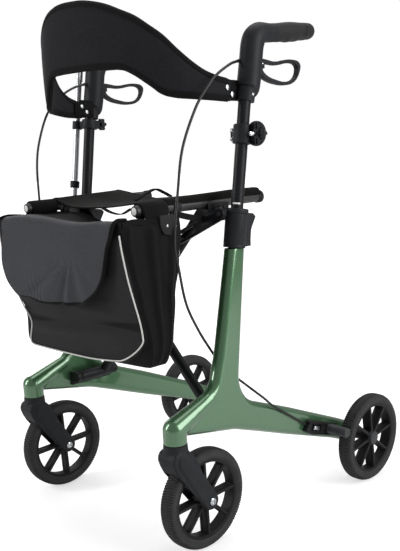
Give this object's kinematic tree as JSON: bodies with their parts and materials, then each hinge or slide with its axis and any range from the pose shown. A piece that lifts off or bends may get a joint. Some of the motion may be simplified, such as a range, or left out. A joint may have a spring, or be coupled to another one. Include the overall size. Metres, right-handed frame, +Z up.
{
  "type": "carbon rollator",
  "caption": "Folding walking frame on wheels with moulded side frames, swivelling front wheels, hand brakes, a sling seat, a backrest band, a front bag and a walking stick.",
  "frame": {"origin": "centre of the object's outline on the floor, under the seat", "axes": "+X to the user's left, +Y backwards to the user behind the handles, +Z up"},
  "size_m": [0.6, 0.6718, 0.972],
  "materials": {
    "green_lacquer": "metallic lacquer, gloss",
    "black_coat": "satin powder coat",
    "black_plastic": "fine grain",
    "tyre_rubber": "matt",
    "grip_rubber": "matt",
    "grey_plastic": "satin",
    "bright_steel": "satin",
    "stick_tube": "satin",
    "cloth": "woven, matt"
  },
  "bodies": {
    "left_frame": {"side_frame_left": "green_lacquer", "collar_left": "black_plastic", "fold_bracket_left": "black_coat", "brake_housing_left": "black_plastic", "rear_axle_left": "black_coat", "brake_cable_left": "black_plastic"},
    "brace_a": {"brace_a": "black_coat", "seat_tube_right": "black_coat", "seat_bracket_right": "black_plastic", "centre_bolt": "bright_steel"},
    "brace_b": {"brace_b": "black_coat", "seat_tube_left": "black_coat", "seat_bracket_left": "black_plastic"},
    "right_frame": {"side_frame_right": "green_lacquer", "collar_right": "black_plastic", "fold_bracket_right": "black_coat", "brake_housing_right": "black_plastic", "rear_axle_right": "black_coat", "brake_cable_right": "black_plastic", "stick_cup": "black_plastic"},
    "seat": {"seat_cloth": "cloth", "pull_strap": "cloth"},
    "bag": {"bag": "cloth"},
    "bag_flap": {"bag_flap": "cloth"},
    "right_handle": {"handle_tube_right": "black_coat", "handle_sleeve_right": "black_plastic", "grip_right": "grip_rubber", "stick_clip_right": "black_plastic", "backrest_bracket_right": "black_plastic", "backrest": "cloth"},
    "left_handle": {"handle_tube_left": "black_coat", "handle_sleeve_left": "black_plastic", "grip_left": "grip_rubber", "stick_clip_left": "black_plastic", "backrest_bracket_left": "black_plastic"},
    "walking_stick": {"walking_stick": "stick_tube"},
    "left_guide_link": {"guide_link_left": "black_coat"},
    "left_quick_lever": {"quick_release_lever_left": "black_plastic"},
    "left_brake_lever": {"brake_lever_left": "black_plastic"},
    "left_brake_shoe": {"brake_shoe_left": "grey_plastic"},
    "left_knob": {"clip_knob_left": "black_plastic"},
    "left_caster": {"caster_fork_left": "black_plastic", "front_axle_left": "bright_steel"},
    "left_front_wheel": {"front_rim_left": "black_plastic", "front_tyre_left": "tyre_rubber"},
    "left_rear_wheel": {"rear_rim_left": "black_plastic", "rear_tyre_left": "tyre_rubber"},
    "right_guide_link": {"guide_link_right": "black_coat"},
    "right_quick_lever": {"quick_release_lever_right": "black_plastic"},
    "right_brake_lever": {"brake_lever_right": "black_plastic"},
    "right_brake_shoe": {"brake_shoe_right": "grey_plastic"},
    "right_knob": {"clip_knob_right": "black_plastic"},
    "right_caster": {"caster_fork_right": "black_plastic", "front_axle_right": "bright_steel"},
    "right_front_wheel": {"front_rim_right": "black_plastic", "front_tyre_right": "tyre_rubber"},
    "right_rear_wheel": {"rear_rim_right": "black_plastic", "rear_tyre_right": "tyre_rubber"}
  },
  "joints": [
    {"name": "fold", "type": "hinge", "parent": "left_frame", "child": "brace_a", "pos_m": [0.19, -0.1321, 0.248], "axis": [0, 1, 0], "range_deg": [0, 33.66], "deforming": ["seat_cloth", "pull_strap", "bag", "bag_flap", "backrest"]},
    {"name": "fold_centre", "type": "hinge", "parent": "brace_a", "child": "brace_b", "pos_m": [0, -0.1321, 0.447], "axis": [0, 1, 0], "range_deg": [-67.42, 0]},
    {"name": "fold_right", "type": "hinge", "parent": "brace_b", "child": "right_frame", "pos_m": [-0.19, -0.1321, 0.248], "axis": [0, 1, 0], "range_deg": [0, 33.76]},
    {"name": "seat_level", "type": "hinge", "parent": "brace_a", "child": "seat", "pos_m": [-0.165, -0.2121, 0.6204], "axis": [0, 1, 0], "range_deg": [-33.76, 0]},
    {"name": "bag_level", "type": "hinge", "parent": "brace_a", "child": "bag", "pos_m": [-0.165, -0.2121, 0.6204], "axis": [0, 1, 0], "range_deg": [-33.76, 0]},
    {"name": "flap_lift", "type": "hinge", "parent": "bag", "child": "bag_flap", "pos_m": [-0.015, -0.2921, 0.5968], "axis": [-1, 0, 0], "range_deg": [0, 90]},
    {"name": "height", "type": "slide", "parent": "right_frame", "child": "right_handle", "axis": [0, 0.1532, 0.9882], "range_m": [-0.1, 0.05], "deforming": ["brake_cable_right"]},
    {"name": "height_left", "type": "slide", "parent": "left_frame", "child": "left_handle", "axis": [0, 0.1532, 0.9882], "range_m": [-0.1, 0.05], "deforming": ["brake_cable_left"]},
    {"name": "stick_lift", "type": "slide", "parent": "right_frame", "child": "walking_stick", "axis": [0, 0.1532, 0.9882], "range_m": [0, 0.1]},
    {"name": "guide_left", "type": "hinge", "parent": "left_frame", "child": "left_guide_link", "pos_m": [0.2145, -0.1296, 0.6045], "axis": [0, 1, 0], "range_deg": [0, 80]},
    {"name": "quick_release_left", "type": "hinge", "parent": "left_frame", "child": "left_quick_lever", "pos_m": [0.2245, -0.07759, 0.553], "axis": [-1, 0, 0], "range_deg": [0, 95]},
    {"name": "brake_left", "type": "hinge", "parent": "left_handle", "child": "left_brake_lever", "pos_m": [0.2245, -0.0261, 0.856], "axis": [1, 0, 0], "range_deg": [0, 14], "stiffness_Nm_per_rad": 6},
    {"name": "brake_shoe_left", "type": "slide", "parent": "left_frame", "child": "left_brake_shoe", "axis": [0, 0.9279, -0.3729], "range_m": [0, 0.0026]},
    {"name": "caster_left", "type": "hinge", "parent": "left_frame", "child": "left_caster", "pos_m": [0.2245, -0.2726, 0.21], "axis": [0, 0, 1], "continuous": true},
    {"name": "front_wheel_left", "type": "hinge", "parent": "left_caster", "child": "left_front_wheel", "pos_m": [0.2245, -0.2121, 0.096], "axis": [1, 0, 0], "continuous": true},
    {"name": "rear_wheel_left", "type": "hinge", "parent": "left_frame", "child": "left_rear_wheel", "pos_m": [0.284, 0.2399, 0.096], "axis": [1, 0, 0], "continuous": true},
    {"name": "guide_right", "type": "hinge", "parent": "right_frame", "child": "right_guide_link", "pos_m": [-0.2145, -0.1376, 0.6045], "axis": [0, 1, 0], "range_deg": [-80, 0]},
    {"name": "quick_release_right", "type": "hinge", "parent": "right_frame", "child": "right_quick_lever", "pos_m": [-0.2245, -0.07759, 0.553], "axis": [-1, 0, 0], "range_deg": [0, 95]},
    {"name": "brake_right", "type": "hinge", "parent": "right_handle", "child": "right_brake_lever", "pos_m": [-0.2245, -0.0261, 0.856], "axis": [1, 0, 0], "range_deg": [0, 14], "stiffness_Nm_per_rad": 6},
    {"name": "brake_shoe_right", "type": "slide", "parent": "right_frame", "child": "right_brake_shoe", "axis": [0, 0.9279, -0.3729], "range_m": [0, 0.0026]},
    {"name": "caster_right", "type": "hinge", "parent": "right_frame", "child": "right_caster", "pos_m": [-0.2245, -0.2726, 0.21], "axis": [0, 0, 1], "continuous": true},
    {"name": "front_wheel_right", "type": "hinge", "parent": "right_caster", "child": "right_front_wheel", "pos_m": [-0.2245, -0.2121, 0.096], "axis": [1, 0, 0], "continuous": true},
    {"name": "rear_wheel_right", "type": "hinge", "parent": "right_frame", "child": "right_rear_wheel", "pos_m": [-0.284, 0.2399, 0.096], "axis": [1, 0, 0], "continuous": true},
    {"name": "knob_left", "type": "hinge", "parent": "left_handle", "child": "left_knob", "pos_m": [0.251, -0.066, 0.738], "axis": [0, 1, 0], "continuous": true},
    {"name": "knob_right", "type": "hinge", "parent": "right_handle", "child": "right_knob", "pos_m": [-0.2245, -0.0458, 0.7805], "axis": [0, 1, 0], "continuous": true}
  ],
  "couplings": [
    {"joint": "fold_centre", "follows": "fold", "ratio": -2},
    {"joint": "fold_right", "follows": "fold", "ratio": 1},
    {"joint": "seat_level", "follows": "fold", "ratio": -1},
    {"joint": "bag_level", "follows": "fold", "ratio": -1},
    {"joint": "height_left", "follows": "height", "ratio": 1},
    {"joint": "guide_left", "follows": "fold", "ratio": 2.36},
    {"joint": "brake_shoe_left", "follows": "brake_left", "m_per_rad": 0.01064},
    {"joint": "guide_right", "follows": "fold", "ratio": -2.36},
    {"joint": "brake_shoe_right", "follows": "brake_right", "m_per_rad": 0.01064}
  ]
}
